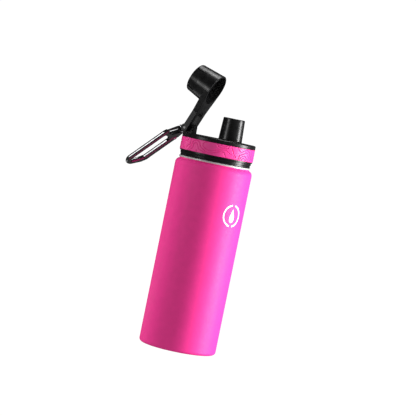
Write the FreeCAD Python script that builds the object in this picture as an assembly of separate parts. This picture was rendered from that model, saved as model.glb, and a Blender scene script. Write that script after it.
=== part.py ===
import FreeCAD, Part
import os
import math

# Insulated spout bottle: double-wall steel bottle, screw-on lid with a tall
# spout, a flip cap on a forked arm, and a carabiner on a lug behind the hinge.
# Frame: z = 0 at the base, +Z up the bottle axis, +X from hinge to spout.
# All sizes in millimetres.

V = FreeCAD.Vector
os.makedirs("parts", exist_ok=True)

# ---------------------------------------------------------------- dimensions
body_r = 36.5            # outer radius of the steel body
wall = 0.8               # sheet thickness of both shells
foot_corner_r = 3.0      # rounded corner at the base
shoulder_z = 171.5       # where the shoulder starts
neck_z = 177.0           # top of the coated shell
neck_r = 33.15           # coated shell radius at the neck
ring_r = 34.0            # bare steel ring
ring_h = 1.6
inner_r = 33.0           # inside of the vessel
vessel_floor_z = 8.0     # underside of the inner vessel
mouth_r = 27.8           # inside of the mouth
mouth_wall = 1.2
mouth_z = 191.0          # top lip of the mouth
foot_in_r = 30.0         # inner edge of the foot ring

pitch = 4.0              # lid thread pitch
thread_crest = 1.3       # radial height of a thread ridge

flange_z0 = 178.9        # underside of the lid
flange_z1 = 184.5
flange_r0 = 33.15
flange_r1 = 34.4
band_z1 = 196.1
band_r = 34.9            # coloured grip band
rim_r = 34.75
rim_z1 = 200.1           # top face of the lid
liner_in_r = 30.7
liner_out_r = 32.9
roof_z = 193.2

spout_x = 10.6
spout_r0 = 11.15
spout_r1 = 10.1
spout_z = 221.3
bore_r = 8.0

pin_x, pin_z = -32.9, 204.2   # cap hinge axis, parallel to Y
pin_r = 1.6
pin_half = 10.5
pin_clear = 0.06
knuckle_r = 3.7
boss_half = 5.3
ear_in, ear_out = 5.6, 10.4
lug_x, lug_z = -39.2, 202.9   # carabiner axis, parallel to Y
lug_half = 3.0
lug_hole_r = 2.1
lug_r = 3.1

cap_rest_deg = 67.5      # arm elevation at rest
arm_len = 43.5
arm_front = 3.4          # opening face offset from the hinge axis
arm_t = 5.5
arm_half = 11.3
arm_straight = 18.0
slot_half = 6.2
slot_end = 19.4
cap_r0 = 15.9            # outer radius at the opening
cap_r1 = 13.6            # outer radius at the closed end
cap_len = 24.8
cap_in0 = 14.4
cap_in1 = 11.6
cap_depth = 22.9
seal_t = 1.9

cara_down_deg = 44.6     # carabiner's fall below horizontal at rest
cara_roll_deg = 8.0
cara_t = 4.2
end_bar_r = 1.5
rivet_u, rivet_v = 13.0, -6.4
rivet_r = 1.1
gate_half = 3.35
gate_end_u = 47.4
gate_swing_deg = 22.0

# ------------------------------------------------------------------- helpers


def save(shape, name):
    shape.exportStep("parts/%s.step" % name)
    print("%-18s solids %d volume %.1f valid %s" % (name, len(shape.Solids), shape.Volume, shape.isValid()))


def face_from(edges):
    return Part.Face(Part.Wire(edges))


def poly_face(points):
    pts = [V(*p) for p in points]
    return Part.Face(Part.makePolygon(pts + [pts[0]]))


def revolve_profile(points):
    """Solid of revolution about Z. points are (r, z) or ('arc', mid, end)."""
    edges, cur, first = [], None, None
    for p in points:
        if cur is None:
            cur = first = V(p[0], 0, p[1])
            continue
        if p[0] == "arc":
            mid, end = V(p[1][0], 0, p[1][1]), V(p[2][0], 0, p[2][1])
            edges.append(Part.Arc(cur, mid, end).toShape())
            cur = end
        else:
            end = V(p[0], 0, p[1])
            edges.append(Part.makeLine(cur, end))
            cur = end
    if (cur - first).Length > 1e-6:
        edges.append(Part.makeLine(cur, first))
    return face_from(edges).revolve(V(0, 0, 0), V(0, 0, 1), 360)


def corner(cx, cz, r, a0, a1):
    """Arc point list for a round corner, angles in degrees in the r-z plane."""
    am = math.radians((a0 + a1) / 2)
    ae = math.radians(a1)
    return ("arc", (cx + r * math.cos(am), cz + r * math.sin(am)), (cx + r * math.cos(ae), cz + r * math.sin(ae)))


def y_cylinder(r, y0, y1, x, z):
    return Part.makeCylinder(r, y1 - y0, V(x, y0, z), V(0, 1, 0))


def xz_prism(points, y0, y1):
    return poly_face([(x, y0, z) for x, z in points]).extrude(V(0, y1 - y0, 0))


def ridge(radius, out, root_w, crest_w, z0, turns):
    """Helical thread ridge. out is +1 for a ridge standing outward, -1 inward."""
    height = pitch * turns
    helix = Part.makeHelix(pitch, height, radius)
    lap = 0.35
    rr = radius - out * lap
    rc = radius + out * thread_crest
    prof = Part.makePolygon([V(rr, 0, -root_w / 2), V(rc, 0, -crest_w / 2), V(rc, 0, crest_w / 2), V(rr, 0, root_w / 2), V(rr, 0, -root_w / 2)])
    sweep = Part.Wire(helix.Edges).makePipeShell([prof], True, True)
    sweep.translate(V(0, 0, z0))
    return sweep


def soften(shape, radius, pick, what):
    """Rounds the picked edges; keeps the sharp solid if the rounding is not sound."""
    edges = [e for e in shape.Edges if pick(e)]
    if not edges:
        print("no edges to round on", what)
        return shape
    for r in (radius, radius * 0.7, radius * 0.45):
        try:
            out = shape.makeFillet(r, edges)
            if out.isValid() and len(out.Solids) == 1 and 0.7 * shape.Volume < out.Volume < 1.02 * shape.Volume:
                return out
        except Exception:
            pass
    print("left sharp:", what)
    return shape


def all_at(e, axis, values, tol=1e-4):
    """True if the whole edge lies at one of the given values along an axis (0, 1, 2)."""
    lo = (e.BoundBox.XMin, e.BoundBox.YMin, e.BoundBox.ZMin)[axis]
    hi = (e.BoundBox.XMax, e.BoundBox.YMax, e.BoundBox.ZMax)[axis]
    return any(abs(lo - v) < tol and abs(hi - v) < tol for v in values)


# --------------------------------------------------------------- steel bottle
b, w = body_r, wall
shell = revolve_profile([
    (foot_in_r, 0.0), (b - foot_corner_r, 0.0),
    corner(b - foot_corner_r, foot_corner_r, foot_corner_r, -90, 0),
    (b, shoulder_z),
    ("arc", (b - 0.75, shoulder_z + 2.55), (neck_r + 0.55, neck_z - 1.15)),
    (neck_r, neck_z - 0.6), (neck_r, neck_z), (neck_r - w, neck_z), (neck_r - w, neck_z - 0.9),
    ("arc", (b - 0.75 - w, shoulder_z + 2.2), (b - w, shoulder_z - 0.3)),
    (b - w, foot_corner_r),
    corner(b - foot_corner_r, foot_corner_r, foot_corner_r - w, 0, -90),
    (foot_in_r, w),
])
save(shell, "outer_shell")

base = revolve_profile([(0, 1.5), (28.2, 1.5), (28.9, 1.1), (29.2, 0.15), (foot_in_r, 0.15), (foot_in_r, 1.5), (29.2, 2.3), (0, 2.3)])
save(base, "base_plate")
save(revolve_profile([(0, 0.6), (4.2, 0.6), (4.6, 1.0), (4.6, 1.5), (0, 1.5)]), "vacuum_seal_plug")

vi, vo = inner_r, inner_r + w
vessel = revolve_profile([
    (0, vessel_floor_z), (vo - 7, vessel_floor_z),
    corner(vo - 7, vessel_floor_z + 7, 7, -90, 0),
    (vo, 168.0),
    (mouth_r + mouth_wall + 1.6, 175.0), (mouth_r + mouth_wall, 176.9),
    (mouth_r + mouth_wall, mouth_z - 0.5), (mouth_r + mouth_wall - 0.5, mouth_z),
    (mouth_r + 0.5, mouth_z), (mouth_r, mouth_z - 0.5),
    (mouth_r, 176.6), (mouth_r + 1.6, 174.4), (vi, 167.6),
    (vi, vessel_floor_z + 7),
    corner(vo - 7, vessel_floor_z + 7, 7 - w, 0, -90),
    (0, vessel_floor_z + w),
])
male = ridge(mouth_r + mouth_wall, +1, 1.9, 1.0, 182.0, 1.6)
vessel = vessel.fuse(male)
save(vessel, "inner_vessel")

nr = mouth_r + mouth_wall
save(revolve_profile([
    (nr, neck_z), (ring_r - 0.4, neck_z), ("arc", (ring_r, neck_z + ring_h / 2), (ring_r - 0.4, neck_z + ring_h)), (nr, neck_z + ring_h),
]), "neck_ring")

# ------------------------------------------------------------------------ lid
liner = revolve_profile([
    (liner_in_r, flange_z0), (flange_r0 - 0.3, flange_z0), (flange_r0, flange_z0 + 0.3),
    (flange_r0 + 0.1, flange_z0 + 1.4), (flange_r0 - 0.3, flange_z0 + 1.6), (flange_r0 - 0.3, flange_z0 + 2.0),
    (flange_r0 + 0.35, flange_z0 + 2.2), (flange_r0 + 0.5, flange_z0 + 3.6), (flange_r0 + 0.1, flange_z0 + 3.8), (flange_r0 + 0.1, flange_z0 + 4.1),
    (flange_r1, flange_z0 + 4.4), (flange_r1, flange_z1),
    (liner_out_r, flange_z1), (liner_out_r, band_z1), (0, band_z1), (0, roof_z), (liner_in_r, roof_z),
])
female = ridge(liner_in_r, -1, 1.5, 0.9, 182.0 + pitch / 2, 1.2)
liner = liner.fuse(female)
liner = liner.cut(Part.makeCylinder(bore_r, 10, V(spout_x, 0, roof_z - 2)))
save(liner, "lid_liner")

save(revolve_profile([
    (liner_out_r, flange_z1), (band_r - 0.35, flange_z1), (band_r, flange_z1 + 0.35), (band_r, band_z1 - 0.35),
    (band_r - 0.35, band_z1), (liner_out_r, band_z1),
]), "grip_band")

save(revolve_profile([(26.9, 191.06), (30.1, 191.06), (30.1, 193.1), (26.9, 193.1)]), "lid_gasket")

rim = revolve_profile([
    (0, band_z1), (rim_r - 0.2, band_z1), (rim_r, band_z1 + 0.3), (rim_r, rim_z1 - 1.3),
    corner(rim_r - 1.3, rim_z1 - 1.3, 1.3, 0, 90), (0, rim_z1),
])
spout = revolve_profile([
    (0, rim_z1 - 1), (spout_r0 + 0.9, rim_z1 - 1), (spout_r0 + 0.9, rim_z1),
    ("arc", (spout_r0 + 0.3, rim_z1 + 0.3), (spout_r0 - 0.02, rim_z1 + 1.0)),
    (spout_r1 + 0.1, spout_z - 1.0), ("arc", (spout_r1 - 0.2, spout_z - 0.25), (spout_r1 - 0.9, spout_z)), (0, spout_z),
])
spout.translate(V(spout_x, 0, 0))
boss = xz_prism([(-25.65, 199.0), (-25.65, 206.1), (-26.8, 207.4), (-30.8, 208.6), (-33.6, 208.6), (-35.2, 207.3), (-36.0, 205.6), (-36.0, 200.6), (-34.2, 199.0)], -boss_half, boss_half)
boss = soften(boss, 0.6, lambda e: all_at(e, 1, (-boss_half, boss_half)) and e.BoundBox.ZMax > 201 and e.BoundBox.XMin > -35.7, "hinge boss")
tongue = xz_prism([(-34.0, 199.3), (-34.0, lug_z + lug_r - 0.2), (lug_x, lug_z + lug_r), (lug_x, lug_z - lug_r)], -lug_half, lug_half)
tongue = tongue.fuse(y_cylinder(lug_r, -lug_half, lug_half, lug_x, lug_z))
lid = rim.fuse([spout, boss, tongue])
lid = lid.cut(Part.makeCylinder(bore_r, 40, V(spout_x, 0, band_z1 - 5)))
lid = lid.cut(y_cylinder(pin_r, -20, 20, pin_x, pin_z))
lid = lid.cut(y_cylinder(lug_hole_r, -20, 20, lug_x, lug_z))
lid = lid.removeSplitter()
save(lid, "lid_top")

pin = y_cylinder(pin_r, -pin_half, pin_half, pin_x, pin_z)
pin = pin.makeChamfer(0.3, [e for e in pin.Edges if isinstance(e.Curve, Part.Circle)])
save(pin, "hinge_pin")

# ---------------------------------------------------------------- cap and arm
# Built closed over the spout (arm along +X), then turned up to the rest angle.
ax, az = pin_x, pin_z
z_open = az - arm_front
z_back = z_open + arm_t
cx = ax + arm_len
# tangents from the straight part's end to the ring circle
dx, dy = arm_straight - arm_len, arm_half
d2 = dx * dx + dy * dy
k = cap_r0 * cap_r0 / d2
q = cap_r0 * math.sqrt(d2 - cap_r0 * cap_r0) / d2
t1 = (cx + k * dx - q * dy, k * dy + q * dx)
t2 = (cx + k * dx + q * dy, k * dy - q * dx)
tp = t1 if t1[1] > t2[1] else t2
plate_pts = [(ax, -arm_half, z_open), (ax + arm_straight, -arm_half, z_open), (tp[0], -tp[1], z_open), (cx, -2.0, z_open),
             (cx, 2.0, z_open), (tp[0], tp[1], z_open), (ax + arm_straight, arm_half, z_open), (ax, arm_half, z_open)]
arm = poly_face(plate_pts).extrude(V(0, 0, arm_t))
arm = soften(arm, 0.9, lambda e: all_at(e, 2, (z_open + arm_t,)) and e.BoundBox.XMax > ax + 1, "arm back edges")
arm = soften(arm, 0.45, lambda e: all_at(e, 2, (z_open,)) and e.BoundBox.XMax > ax + 1, "arm front edges")
ears = y_cylinder(knuckle_r, -ear_out, ear_out, ax, az)
ears = soften(ears, 0.5, lambda e: all_at(e, 1, (-ear_out, ear_out)), "ears")
cone = revolve_profile([
    (0, 0), (cap_r0 - 0.4, 0), (cap_r0, 0.4), (cap_r1 + 0.25, cap_len - 1.6),
    ("arc", (cap_r1 - 0.35, cap_len - 0.4), (cap_r1 - 1.6, cap_len)),
    (8.4, cap_len), (8.0, cap_len - 0.5), (0, cap_len - 0.5),
])
cone.translate(V(cx, 0, z_open))
arm = arm.fuse([ears, cone])
slot = Part.makeBox(slot_end - slot_half - 5, 2 * slot_half, 16, V(ax + 5, -slot_half, az - 8))
slot = slot.fuse(Part.makeCylinder(slot_half, 16, V(ax + slot_end - slot_half, 0, az - 8)))
gap = Part.makeBox(16, 2 * ear_in, 16, V(ax - 8, -ear_in, az - 8))
cavity = Part.makeCone(cap_in0, cap_in1, cap_depth)
cavity.translate(V(cx, 0, z_open))
arm = arm.cut([slot, gap, cavity, y_cylinder(pin_r + pin_clear, -20, 20, ax, az)])
# finger recess on each side of the cap, deepest at the closed end, with a groove at each edge
rec_len = 8.8
z_rec = z_open + cap_len - rec_len
r_at = cap_r1 + (cap_r0 - cap_r1) * rec_len / cap_len
keep = Part.makeCone(r_at + 0.02, cap_r1 - 0.85, rec_len + 0.01)
keep = keep.fuse(Part.makeCylinder(cap_r1 - 0.85, 2.0, V(0, 0, rec_len)))
keep.translate(V(cx, 0, z_rec))
for side in (-1, 1):
    a = math.radians(46)
    far = 30.0
    wedge = poly_face([(cx, 0, z_rec), (cx + far * math.cos(a), side * far * math.sin(a), z_rec), (cx - far * math.cos(a), side * far * math.sin(a), z_rec)]).extrude(V(0, 0, rec_len + 1.5))
    arm = arm.cut(wedge.cut(keep))
for ang in (46, 134, 226, 314):
    # the groove's floor follows the taper
    floor = Part.makeCone(r_at - 0.6, cap_r1 - 1.35, rec_len + 0.2)
    floor = floor.fuse(Part.makeCylinder(cap_r1 - 1.35, 3.0, V(0, 0, rec_len + 0.2)))
    floor.translate(V(cx, 0, z_rec - 0.2))
    gg = Part.makeBox(6.0, 0.9, rec_len + 2, V(cap_r1 - 2.5, -0.45, z_rec - 0.2))
    gg.rotate(V(0, 0, 0), V(0, 0, 1), ang)
    gg.translate(V(cx, 0, 0))
    arm = arm.cut(gg.cut(floor))
arm = arm.removeSplitter()
seal = revolve_profile([(0, cap_depth - seal_t), (11.0, cap_depth - seal_t), (11.4, cap_depth - seal_t + 0.4), (11.4, cap_depth), (0, cap_depth)])
seal.translate(V(cx, 0, z_open))
for s, name in ((arm, "spout_cap"), (seal, "cap_seal")):
    s.rotate(V(pin_x, 0, pin_z), V(0, 1, 0), -cap_rest_deg)
    save(s, name)

# ----------------------------------------------------------------- carabiner
# Local axes: X = u along the carabiner from its eye, Y = v across it, Z through it.
h = cara_t / 2


def uv_prism(points, z0, z1):
    return poly_face([(u, v, z0) for u, v in points]).extrude(V(0, 0, z1 - z0))


def spline_prism(points, z0, z1):
    c = Part.BSplineCurve()
    c.interpolate([V(u, v, z0) for u, v in points], PeriodicFlag=True)
    return Part.Face(Part.Wire([c.toShape()])).extrude(V(0, 0, z1 - z0))


def round_poly(points, radius, z0, z1):
    """Prism of a polygon whose corners are rounded with arcs."""
    n = len(points)
    edges, prev_end, first_start = [], None, None
    for i in range(n):
        p0, p1, p2 = V(*points[i - 1], z0), V(*points[i], z0), V(*points[(i + 1) % n], z0)
        d0, d2_ = (p0 - p1), (p2 - p1)
        l0, l2 = d0.Length, d2_.Length
        d0.normalize()
        d2_.normalize()
        ang = d0.getAngle(d2_)
        cut = min(radius / math.tan(ang / 2), 0.45 * l0, 0.45 * l2)
        r = cut * math.tan(ang / 2)
        s, e = p1 + d0 * cut, p1 + d2_ * cut
        bis = (d0 + d2_)
        bis.normalize()
        m = p1 + bis * (r / math.sin(ang / 2) - r)
        if prev_end is not None and (s - prev_end).Length > 1e-6:
            edges.append(Part.makeLine(prev_end, s))
        if first_start is None:
            first_start = s
        edges.append(Part.Arc(s, m, e).toShape())
        prev_end = e
    if (first_start - prev_end).Length > 1e-6:
        edges.append(Part.makeLine(prev_end, first_start))
    return face_from(edges).extrude(V(0, 0, z1 - z0))


outer = [(-1.2, -6.8), (6.5, -9.0), (12.0, -10.1), (48.7, -10.1), (54.1, -6.7), (61.6, 4.3), (61.6, 10.8), (56.8, 16.6), (10.5, 16.6), (-1.2, 7.6)]
frame = round_poly(outer, 6.0, -h, h)
window = [(1.4, -4.7), (1.4, 4.9), (8.6, 13.3), (9.8, 12.9), (10.4, 4.0)]
opening = [(14.6, 11.4), (14.6, 3.6), (18.8, -3.2), (46.9, -3.2), (51.8, 0.6), (56.8, 6.6), (56.4, 9.6), (53.4, 11.4)]
frame = frame.cut(round_poly(window, 0.9, -3, 3))
frame = frame.cut(round_poly(opening, 1.6, -3, 3))
frame = soften(frame, 1.8, lambda e: all_at(e, 2, (-h, h)) and not (e.BoundBox.XMin > 1 and e.BoundBox.XMax < 11.5 and e.BoundBox.YMax < 13.6 and e.BoundBox.YMin > -5), "carabiner edges")
# the eye's end is a round bar so that it turns in the lug
frame = frame.cut(uv_prism([(-4, -4.7), (1.6, -4.7), (1.6, 4.7), (-4, 4.7)], -3, 3))
frame = frame.cut(uv_prism([(-4, -12), (-1.5, -12), (-1.5, 12), (-4, 12)], -3, 3))
# the far arm is relieved beside the lug
frame = frame.cut(uv_prism([(1.5, -3.85), (3.0, -3.85), (4.0, -2.85), (4.0, 4.6), (1.5, 4.6)], -3, 3))
for z0_ in (0.8, -4.8):
    frame = frame.cut(uv_prism([(-4, 4.6), (2.6, 4.6), (9.2, 12.2), (9.2, 18.0), (-4, 18.0)], z0_, z0_ + 4.0))
frame = frame.fuse(Part.makeCylinder(end_bar_r, 11.6, V(0, -5.8, 0), V(0, 1, 0)))
# room for the gate
frame = frame.cut(uv_prism([(18.8, -12), (18.8, -1.7), (gate_end_u + 0.4, -1.7), (gate_end_u + 0.4, -8.3), (gate_end_u - 2.2, -8.3), (gate_end_u - 2.2, -12)], -3, 3))


def gate_blank(half, hz):
    g = uv_prism([(rivet_u, rivet_v - half), (gate_end_u, rivet_v - half), (gate_end_u, rivet_v + half), (rivet_u, rivet_v + half)], -hz, hz)
    return g.fuse(Part.makeCylinder(half, 2 * hz, V(rivet_u, rivet_v, -hz)))


tongue_h = 0.55
swept = None
for step in range(12):
    ang = gate_swing_deg * step / 11.0
    gb = gate_blank(gate_half + 0.35, 3)
    gb.rotate(V(rivet_u, rivet_v, 0), V(0, 0, 1), ang)
    swept = gb if swept is None else swept.fuse(gb)
near = uv_prism([(8, -14), (21.5, -14), (21.5, 7), (8, 7)], -3, 3)
swept = swept.common(near)
mid = uv_prism([(5, -16), (24, -16), (24, 8), (5, 8)], -tongue_h, tongue_h)
frame = frame.cut(swept.cut(mid))
frame = frame.cut(Part.makeCylinder(rivet_r, 8, V(rivet_u, rivet_v, -4)))

gate = gate_blank(gate_half, h).removeSplitter()
gate = soften(gate, 1.7, lambda e: all_at(e, 2, (-h, h)) and e.BoundBox.XMin < gate_end_u - 1, "gate edges")
gate = gate.cut(uv_prism([(rivet_u - 4, rivet_v - 4), (20.0, rivet_v - 4), (20.0, rivet_v + 4), (rivet_u - 4, rivet_v + 4)], -tongue_h - 0.25, tongue_h + 0.25))
gate = gate.cut(uv_prism([(gate_end_u - 2.6, rivet_v - 4), (gate_end_u + 1, rivet_v - 4), (gate_end_u + 1, -7.95), (gate_end_u - 2.6, -7.95)], -3, 3))
gate = gate.cut(Part.makeCylinder(rivet_r + 0.06, 8, V(rivet_u, rivet_v, -4)))
spring_bay = Part.makeBox(10.0, 2.2, 1.2, V(19.9, rivet_v - 1.1, -0.6))
gate = gate.cut(spring_bay)
spring = Part.makeBox(9.2, 0.5, 0.9, V(20.3, rivet_v - 0.25, -0.45))
spring = spring.fuse(Part.makeBox(0.5, 2.0, 0.9, V(29.1, rivet_v - 1.0, -0.45)))
spring = spring.fuse(Part.makeBox(0.5, 1.5, 0.9, V(20.3, rivet_v - 0.5, -0.45)))

rivet = Part.makeCylinder(rivet_r, cara_t + 0.3, V(rivet_u, rivet_v, -h - 0.15))
for s_ in (-1, 1):
    head = Part.makeCone(1.9, 1.4, 0.45, V(rivet_u, rivet_v, s_ * (h + 0.08)), V(0, 0, s_))
    rivet = rivet.fuse(head)

ph, ro = math.radians(cara_down_deg), math.radians(cara_roll_deg)
ex = V(-math.cos(ph), 0, -math.sin(ph))
up = V(-math.sin(ph), 0, math.cos(ph))
ey = V(0, -1, 0) * math.cos(ro) + up * math.sin(ro)
ez = ex.cross(ey)
place = FreeCAD.Matrix(ex.x, ey.x, ez.x, lug_x, ex.y, ey.y, ez.y, 0, ex.z, ey.z, ez.z, lug_z, 0, 0, 0, 1)
for s, name in ((frame, "carabiner_frame"), (gate, "carabiner_gate"), (spring, "gate_spring"), (rivet, "gate_rivet")):
    s = s.removeSplitter() if name != "gate_rivet" else s
    s = s.transformShape(place)
    save(s, name)
gp = place.multVec(V(rivet_u, rivet_v, 0))
print("gate pivot", tuple(round(c, 4) for c in gp), "axis", tuple(round(c, 6) for c in ez))
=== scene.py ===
import math

import bmesh
import bpy
import numpy as np
from mathutils import Matrix, Vector


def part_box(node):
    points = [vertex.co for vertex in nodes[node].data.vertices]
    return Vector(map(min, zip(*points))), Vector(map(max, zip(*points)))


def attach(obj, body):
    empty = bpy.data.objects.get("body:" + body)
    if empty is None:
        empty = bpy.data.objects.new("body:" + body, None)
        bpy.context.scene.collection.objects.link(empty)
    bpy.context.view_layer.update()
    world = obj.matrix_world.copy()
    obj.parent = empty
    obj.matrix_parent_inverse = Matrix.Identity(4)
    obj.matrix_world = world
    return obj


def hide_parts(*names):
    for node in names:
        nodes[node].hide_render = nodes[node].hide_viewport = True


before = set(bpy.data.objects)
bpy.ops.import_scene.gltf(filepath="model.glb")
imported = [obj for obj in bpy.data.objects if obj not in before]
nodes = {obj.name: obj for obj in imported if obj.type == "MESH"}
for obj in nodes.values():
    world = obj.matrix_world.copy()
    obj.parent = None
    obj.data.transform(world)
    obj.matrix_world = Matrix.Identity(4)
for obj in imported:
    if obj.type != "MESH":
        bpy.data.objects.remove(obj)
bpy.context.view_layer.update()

MM = 0.001

# ------------------------------------------------------------------ materials


class Mat:
    """A small helper to build a procedural material."""

    def __init__(self, name, color, rough, metal=0.0, spec=0.5, coat=0.0, coat_rough=0.1, sheen=0.0, ior=None):
        self.m = bpy.data.materials.new(name)
        self.m.use_nodes = True
        self.t = self.m.node_tree
        self.b = self.t.nodes["Principled BSDF"]
        self.b.inputs["Base Color"].default_value = (*color, 1)
        self.b.inputs["Roughness"].default_value = rough
        self.b.inputs["Metallic"].default_value = metal
        self.b.inputs["Specular IOR Level"].default_value = spec
        self.b.inputs["Coat Weight"].default_value = coat
        self.b.inputs["Coat Roughness"].default_value = coat_rough
        if sheen:
            self.b.inputs["Sheen Weight"].default_value = sheen
        if ior:
            self.b.inputs["IOR"].default_value = ior
        self.co = self.t.nodes.new("ShaderNodeTexCoord").outputs["Object"]
        self.last_bump = None

    def node(self, kind, **values):
        n = self.t.nodes.new(kind)
        for k, v in values.items():
            if k in n.inputs:
                n.inputs[k].default_value = v
            else:
                setattr(n, k, v)
        return n

    def link(self, a, b):
        self.t.links.new(a, b)

    def mapping(self, scale=(1, 1, 1)):
        n = self.node("ShaderNodeMapping")
        n.inputs["Scale"].default_value = scale
        self.link(self.co, n.inputs["Vector"])
        return n.outputs["Vector"]

    def noise(self, scale, detail=3.0, rough=0.5, vec=None):
        n = self.node("ShaderNodeTexNoise", Scale=scale, Detail=detail, Roughness=rough)
        self.link(vec if vec is not None else self.co, n.inputs["Vector"])
        return n.outputs["Fac"]

    def ramp(self, fac, stops):
        n = self.node("ShaderNodeValToRGB")
        e = n.color_ramp.elements
        while len(e) < len(stops):
            e.new(0.5)
        for el, (p, c) in zip(e, stops):
            el.position = p
            el.color = (*c, 1) if len(c) == 3 else c
        self.link(fac, n.inputs["Fac"])
        return n.outputs["Color"]

    def remap(self, fac, a, b, c, d):
        n = self.node("ShaderNodeMapRange")
        for key, v in (("From Min", a), ("From Max", b), ("To Min", c), ("To Max", d)):
            n.inputs[key].default_value = v
        self.link(fac, n.inputs["Value"])
        return n.outputs["Result"]

    def color(self, fac, low, high, lo=0.35, hi=0.65):
        self.link(self.ramp(fac, [(lo, low), (hi, high)]), self.b.inputs["Base Color"])
        return self

    def rough(self, fac, low, high, lo=0.3, hi=0.7):
        self.link(self.remap(fac, lo, hi, low, high), self.b.inputs["Roughness"])
        return self

    def bump(self, fac, distance, strength=1.0):
        n = self.node("ShaderNodeBump", Strength=strength, Distance=distance)
        self.link(fac, n.inputs["Height"])
        if self.last_bump is not None:
            self.link(self.last_bump, n.inputs["Normal"])
        self.last_bump = n.outputs["Normal"]
        self.link(self.last_bump, self.b.inputs["Normal"])
        return self


def scaled(c, k):
    return tuple(max(0.0, min(1.0, x * k)) for x in c)


# pink powder coat: fine orange peel, faint sparkle-free mottling
PINK = (0.86, 0.036, 0.278)
coat = Mat("pink_powder_coat", PINK, 0.50, spec=0.24)
coat.color(coat.noise(160.0, 4.0), scaled(PINK, 0.965), scaled(PINK, 1.02))
coat.rough(coat.noise(420.0, 2.0), 0.45, 0.54)
coat.bump(coat.noise(1500.0, 2.0, 0.5), 0.00004, 0.35)
coat.bump(coat.noise(300.0, 2.0, 0.5), 0.00010, 0.12)

BAND = (0.84, 0.042, 0.285)
band_m = Mat("pink_band_plastic", BAND, 0.40, spec=0.5)
band_m.color(band_m.noise(220.0, 3.0), scaled(BAND, 0.96), scaled(BAND, 1.02))
band_m.rough(band_m.noise(500.0, 2.0), 0.36, 0.44)
band_m.bump(band_m.noise(1800.0, 2.0), 0.00003, 0.3)

black = Mat("black_moulded_plastic", (0.005, 0.005, 0.0055), 0.30, spec=0.55)
black.color(black.noise(140.0, 3.0), (0.004, 0.004, 0.0045), (0.008, 0.008, 0.0085))
black.rough(black.noise(260.0, 3.0), 0.25, 0.34)
black.bump(black.noise(2200.0, 2.0), 0.000015, 0.3)

cap_m = Mat("black_cap_plastic", (0.005, 0.005, 0.0055), 0.31, spec=0.6)
cap_m.color(cap_m.noise(150.0, 3.0), (0.004, 0.004, 0.0045), (0.009, 0.009, 0.0095))
cap_m.rough(cap_m.noise(300.0, 3.0), 0.26, 0.36)
cap_m.bump(cap_m.noise(2200.0, 2.0), 0.000015, 0.35)


def brushed(name, color, rough_lo, rough_hi, scale, strength, metal=1.0):
    m = Mat(name, color, rough_lo, metal=metal)
    v = m.mapping(scale)
    f = m.noise(1.0, 4.0, 0.6, vec=v)
    m.color(f, scaled(color, 0.93), scaled(color, 1.04))
    m.rough(f, rough_lo, rough_hi)
    m.bump(f, 0.00003, strength)
    return m


steel = brushed("brushed_steel", (0.60, 0.60, 0.595), 0.24, 0.36, (120, 120, 5000), 0.25, metal=0.72)
steel_base = brushed("spun_steel_base", (0.58, 0.58, 0.575), 0.26, 0.38, (900, 900, 900), 0.2, metal=0.70)
polished = brushed("polished_steel", (0.80, 0.80, 0.795), 0.10, 0.18, (200, 200, 3500), 0.08)

frame_m = Mat("black_nickel_metal", (0.24, 0.24, 0.245), 0.16, metal=1.0)
frame_m.color(frame_m.noise(200.0, 3.0), (0.20, 0.20, 0.205), (0.28, 0.28, 0.285))
frame_m.rough(frame_m.noise(350.0, 3.0), 0.12, 0.21)
frame_m.bump(frame_m.noise(1500.0, 3.0), 0.00002, 0.25)

pin_m = brushed("dull_steel_pin", (0.34, 0.34, 0.345), 0.34, 0.44, (900, 900, 900), 0.1)

ring_m = Mat("satin_steel_ring", (0.80, 0.80, 0.795), 0.34, metal=0.55)
ring_m.color(ring_m.noise(260.0, 3.0), (0.76, 0.76, 0.755), (0.84, 0.84, 0.835))
ring_m.rough(ring_m.noise(1.0, 4.0, 0.6, vec=ring_m.mapping((200, 200, 4000))), 0.28, 0.40)
ring_m.bump(ring_m.noise(900.0, 2.0), 0.00001, 0.3)

silicone = Mat("white_silicone", (0.72, 0.72, 0.70), 0.55, spec=0.4)
silicone.color(silicone.noise(180.0, 2.0), (0.68, 0.68, 0.66), (0.75, 0.75, 0.73))
silicone.bump(silicone.noise(900.0, 2.0), 0.00003, 0.3)

mark_m = Mat("white_mark_ink", (0.93, 0.92, 0.93), 0.45, spec=0.4)
mark_m.color(mark_m.noise(400.0, 2.0), (0.90, 0.885, 0.90), (0.95, 0.94, 0.95))
mark_m.bump(mark_m.noise(1500.0, 2.0), 0.00002, 0.25)


def dress(name, mat):
    o = nodes[name]
    o.data.materials.clear()
    o.data.materials.append(mat.m)
    return o


dress("outer_shell", coat)
dress("base_plate", steel_base)
dress("vacuum_seal_plug", polished)
dress("inner_vessel", steel)
dress("neck_ring", ring_m)
dress("lid_liner", black)
dress("lid_gasket", silicone)
dress("lid_top", black)
dress("hinge_pin", pin_m)
dress("spout_cap", cap_m)
dress("cap_seal", silicone)
dress("carabiner_frame", frame_m)
dress("carabiner_gate", frame_m)
dress("gate_spring", steel)
dress("gate_rivet", polished)

# ------------------------------------------------------------- contour band
# The grip band carries engraved map-like contour lines. It is a closed ring whose
# outer wall is a fine grid pushed in along the lines of a smooth periodic field.

low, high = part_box("grip_band")
z0, z1 = low.z, high.z
r_out = high.x
r_in = 32.9 * MM
chamfer = 0.35 * MM


def contour_field(th, z):
    """Smooth field around the band. th in radians, z in mm above the band's foot."""
    w = 0.8 * np.sin(4 * th + 0.22 * z + 0.7)
    f = 0.24 * z
    for n, kz, amp, ph in ((5, 0.06, 0.95, 0.4), (8, -0.30, 0.62, 2.1), (12, 0.42, 0.36, 4.0), (17, -0.50, 0.16, 1.2)):
        f = f + amp * np.sin(n * th + kz * z + ph + w)
    return f


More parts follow.
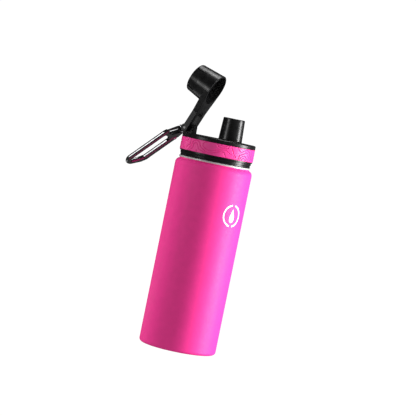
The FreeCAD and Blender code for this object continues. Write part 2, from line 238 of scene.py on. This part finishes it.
def band_mesh():
    nt, nz = 1600, 74
    th = np.linspace(0, 2 * np.pi, nt, endpoint=False)
    zs = np.linspace(z0 + chamfer, z1 - chamfer, nz)
    T, Z = np.meshgrid(th, zs)
    zmm = (Z - z0) / MM
    f = contour_field(T, zmm)
    step = 1.0
    e = 1e-3
    gx = (contour_field(T + e, zmm) - contour_field(T - e, zmm)) / (2 * e) / 34.9
    gz = (contour_field(T, zmm + e) - contour_field(T, zmm - e)) / (2 * e)
    grad = np.sqrt(gx * gx + gz * gz) + 0.05
    dist = np.abs(((f / step) % 1.0) - 0.5)
    dist = (0.5 - dist) * step / grad          # mm from the nearest line
    line = np.clip(1.0 - dist / 0.55, 0, 1)
    line = line * line * (3 - 2 * line)
    edge = np.clip(np.minimum(zmm - 0.35, (z1 - z0) / MM - 0.35 - zmm) / 0.5, 0, 1)
    # one side of each line stands slightly proud, like a terrace
    tier = 0.5 + 0.5 * np.sin(2 * np.pi * (f / step) * 0.5)
    depth = (0.48 * line * edge + 0.10 * (1 - tier) * edge) * MM
    R = r_out - depth
    X, Y = R * np.cos(T), R * np.sin(T)
    verts = np.stack([X, Y, Z], -1).reshape(-1, 3).tolist()
    faces = []
    for j in range(nz - 1):
        a, b = j * nt, (j + 1) * nt
        for i in range(nt):
            k = (i + 1) % nt
            faces.append((a + i, a + k, b + k, b + i))
    # close with chamfers, top and bottom faces and the inner wall
    rings = [(r_in, z0), (r_out - chamfer, z0)], [(r_out - chamfer, z1), (r_in, z1)]
    base = len(verts)
    for r, z in (*rings[0], *rings[1]):
        verts.extend([(r * math.cos(t), r * math.sin(t), z) for t in th])
    B0, B1, T0, T1 = base, base + nt, base + 2 * nt, base + 3 * nt
    topj = (nz - 1) * nt
    for i in range(nt):
        k = (i + 1) % nt
        faces.append((B0 + i, B0 + k, B1 + k, B1 + i))
        faces.append((B1 + i, B1 + k, k, i))
        faces.append((topj + i, topj + k, T0 + k, T0 + i))
        faces.append((T0 + i, T0 + k, T1 + k, T1 + i))
        faces.append((T1 + i, T1 + k, B0 + k, B0 + i))
    me = bpy.data.meshes.new("contour_grip_band")
    me.from_pydata(verts, [], faces)
    bm = bmesh.new()
    bm.from_mesh(me)
    bmesh.ops.recalc_face_normals(bm, faces=bm.faces)
    bm.to_mesh(me)
    bm.free()
    me.update()
    o = bpy.data.objects.new("contour_grip_band", me)
    bpy.context.scene.collection.objects.link(o)
    for p in me.polygons:
        p.use_smooth = True
    me.materials.append(band_m.m)
    return o


band = band_mesh()
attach(band, "lid")
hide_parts("grip_band")

# ------------------------------------------------------------- generic mark
# A plain water drop inside a broken ring, as a thin printed layer on the body.


def wrapped_patch(name, outline, az, zc, holes=()):
    bm = bmesh.new()
    grid = 0.7
    xs = [p[0] for p in outline]
    ys = [p[1] for p in outline]
    loops = [outline, *holes]
    me = bpy.data.meshes.new(name)
    cu = bpy.data.curves.new(name + "_c", "CURVE")
    cu.dimensions = "2D"
    cu.fill_mode = "BOTH"
    for lp in loops:
        sp = cu.splines.new("POLY")
        sp.points.add(len(lp) - 1)
        for q, (x, y) in zip(sp.points, lp):
            q.co = (x, y, 0, 1)
        sp.use_cyclic_u = True
    co = bpy.data.objects.new(name + "_c", cu)
    bpy.context.scene.collection.objects.link(co)
    bpy.context.view_layer.update()
    dg = bpy.context.evaluated_depsgraph_get()
    flat = bpy.data.meshes.new_from_object(co.evaluated_get(dg))
    bm.from_mesh(flat)
    bpy.data.objects.remove(co)
    # cut into narrow strips so that the patch bends with the body
    x = min(xs) + grid
    while x < max(xs):
        geom = bm.verts[:] + bm.edges[:] + bm.faces[:]
        bmesh.ops.bisect_plane(bm, geom=geom, plane_co=(x, 0, 0), plane_no=(1, 0, 0))
        x += grid
    bmesh.ops.triangulate(bm, faces=bm.faces[:])
    bmesh.ops.remove_doubles(bm, verts=bm.verts[:], dist=1e-4)
    ret = bmesh.ops.extrude_face_region(bm, geom=bm.faces[:])
    top = [v for v in ret["geom"] if isinstance(v, bmesh.types.BMVert)]
    tops = set(top)
    for v in bm.verts:
        lift = 0.06 if v in tops else -0.05
        a = az + v.co.x / 36.5
        R = (36.5 + lift) * MM
        v.co = Vector((R * math.sin(a), -R * math.cos(a), (zc + v.co.y) * MM))
    bmesh.ops.recalc_face_normals(bm, faces=bm.faces[:])
    bm.to_mesh(me)
    bm.free()
    o = bpy.data.objects.new(name, me)
    bpy.context.scene.collection.objects.link(o)
    me.materials.append(mark_m.m)
    return o


def drop_outline(s, n=40):
    pts = []
    for i in range(n):
        t = 2 * math.pi * i / n
        x = s * 0.62 * math.sin(t) * (math.sin(t / 2) ** 1.6)
        y = s * math.cos(t)
        pts.append((x, y))
    return pts


MARK_AZ, MARK_Z = math.radians(64.5), 133.0


def ring_arc(r0, r1, a0, a1, n=28):
    pts = [(r1 * math.cos(math.radians(a0 + (a1 - a0) * i / n)), r1 * math.sin(math.radians(a0 + (a1 - a0) * i / n))) for i in range(n + 1)]
    pts += [(r0 * math.cos(math.radians(a1 + (a0 - a1) * i / n)), r0 * math.sin(math.radians(a1 + (a0 - a1) * i / n))) for i in range(n + 1)]
    return pts


marks = [wrapped_patch("mark_drop", drop_outline(6.4), MARK_AZ, MARK_Z)]
for i, (a0, a1) in enumerate(((100, 260), (280, 440))):
    marks.append(wrapped_patch("mark_ring_%d" % (i + 1), ring_arc(9.0, 10.4, a0, a1), MARK_AZ, MARK_Z))
for m in marks:
    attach(m, "bottle")

# ------------------------------------------------------------------ the stage


def emission(name, color, strength):
    m = bpy.data.materials.new(name)
    m.use_nodes = True
    t = m.node_tree
    t.nodes.clear()
    e = t.nodes.new("ShaderNodeEmission")
    e.inputs["Color"].default_value = (*color, 1)
    e.inputs["Strength"].default_value = strength
    out = t.nodes.new("ShaderNodeOutputMaterial")
    t.links.new(e.outputs[0], out.inputs[0])
    return m




def disc(name, radius, z, mat):
    n = 96
    me = bpy.data.meshes.new(name)
    me.from_pydata([(radius * math.cos(2 * math.pi * i / n), radius * math.sin(2 * math.pi * i / n), z) for i in range(n)], [], [tuple(range(n))])
    me.materials.append(mat)
    o = bpy.data.objects.new(name, me)
    bpy.context.scene.collection.objects.link(o)
    o.visible_diffuse = False
    o.visible_transmission = False
    o.visible_shadow = False
    return o


# only reflections see these: a dim floor near the bottle and a brighter patch on its left
floor_near = disc("floor_near", 0.42, -0.0008, emission("floor_sheen", (1, 1, 1), 0.10))
floor_near.visible_camera = False
patch_left = disc("floor_patch_left", 0.06, -0.0006, emission("floor_glow_left", (1, 1, 1), 1.6))
patch_left.location = (-0.25, 0.06, 0)
patch_left.visible_camera = False

bm = bmesh.new()
bmesh.ops.create_icosphere(bm, subdivisions=4, radius=4.9)
me = bpy.data.meshes.new("backdrop")
bm.to_mesh(me)
bm.free()
me.materials.append(emission("white_backdrop", (1, 1, 1), 1.05))
dome = bpy.data.objects.new("backdrop", me)
bpy.context.scene.collection.objects.link(dome)
dome.visible_diffuse = False
dome.visible_glossy = False
dome.visible_transmission = False
dome.visible_shadow = False

world = bpy.data.worlds.new("studio")
world.use_nodes = True
world.node_tree.nodes["Background"].inputs["Color"].default_value = (1, 1, 1, 1)
world.node_tree.nodes["Background"].inputs["Strength"].default_value = 0.05
bpy.context.scene.world = world

# soft light from all round that fills the matt surfaces only
bm = bmesh.new()
bmesh.ops.create_icosphere(bm, subdivisions=4, radius=4.6)
me = bpy.data.meshes.new("fill_shell")
bm.to_mesh(me)
bm.free()
me.materials.append(emission("soft_fill", (1, 1, 1), 0.56))
fill = bpy.data.objects.new("fill_shell", me)
bpy.context.scene.collection.objects.link(fill)
fill.visible_camera = False
fill.visible_glossy = False
fill.visible_transmission = False
fill.visible_shadow = False


def area(name, az_deg, dist, height, size, power, aim=(0, 0, 0.12), shape="RECTANGLE", color=(1, 1, 1)):
    ld = bpy.data.lights.new(name, "AREA")
    ld.shape = shape
    ld.size, ld.size_y = size
    ld.energy = power
    ld.color = color
    o = bpy.data.objects.new(name, ld)
    a = math.radians(az_deg)
    o.location = (dist * math.sin(a), -dist * math.cos(a), height)
    d = Vector(aim) - o.location
    o.rotation_euler = d.to_track_quat("-Z", "Y").to_euler()
    bpy.context.scene.collection.objects.link(o)
    return o


area("key_right", 105, 0.75, 0.12, (0.26, 0.50), 6.4)
key_fill = area("key_right_diffuse", 107, 0.75, 0.22, (0.30, 0.90), 10.0)
key_fill.visible_glossy = False
rim = area("rim_left", -92, 0.75, 0.20, (0.22, 0.80), 4.3)
rim.visible_glossy = False
area("glint_front", -20, 0.60, 0.185, (0.05, 0.07), 0.03, aim=(-0.02, 0, 0.215))
streak = area("streak_left", -36.3, 0.632, 0.256, (0.13, 0.13), 0.36, aim=(-0.062, 0, 0.178))
streak.visible_diffuse = False
area("top_soft", 170, 0.20, 0.95, (0.28, 0.28), 2.0, aim=(0, 0, 0.2))

# ----------------------------------------------------------------- the camera
AZ, EL, DIST = math.radians(20.0), math.radians(2.95), 1.70
ROLL = math.radians(11.55)
target = Vector((0.0024 * math.cos(AZ), 0.0024 * math.sin(AZ), 0.1346))
loc = target + DIST * Vector((math.sin(AZ) * math.cos(EL), -math.cos(AZ) * math.cos(EL), math.sin(EL)))
fwd = (target - loc).normalized()
right = fwd.cross(Vector((0, 0, 1))).normalized()
up = right.cross(fwd)
r2 = right * math.cos(ROLL) + up * math.sin(ROLL)
u2 = up * math.cos(ROLL) - right * math.sin(ROLL)
cam_d = bpy.data.cameras.new("camera")
cam_d.lens = 157.1
cam_d.sensor_width = 36.0
cam_d.clip_end = 50
cam = bpy.data.objects.new("camera", cam_d)
rot = Matrix((r2, u2, -fwd)).transposed()
cam.matrix_world = Matrix.Translation(loc) @ rot.to_4x4()
bpy.context.scene.collection.objects.link(cam)
bpy.context.scene.camera = cam

bpy.context.scene.view_settings.view_transform = "Standard"
bpy.context.scene.view_settings.look = "None"
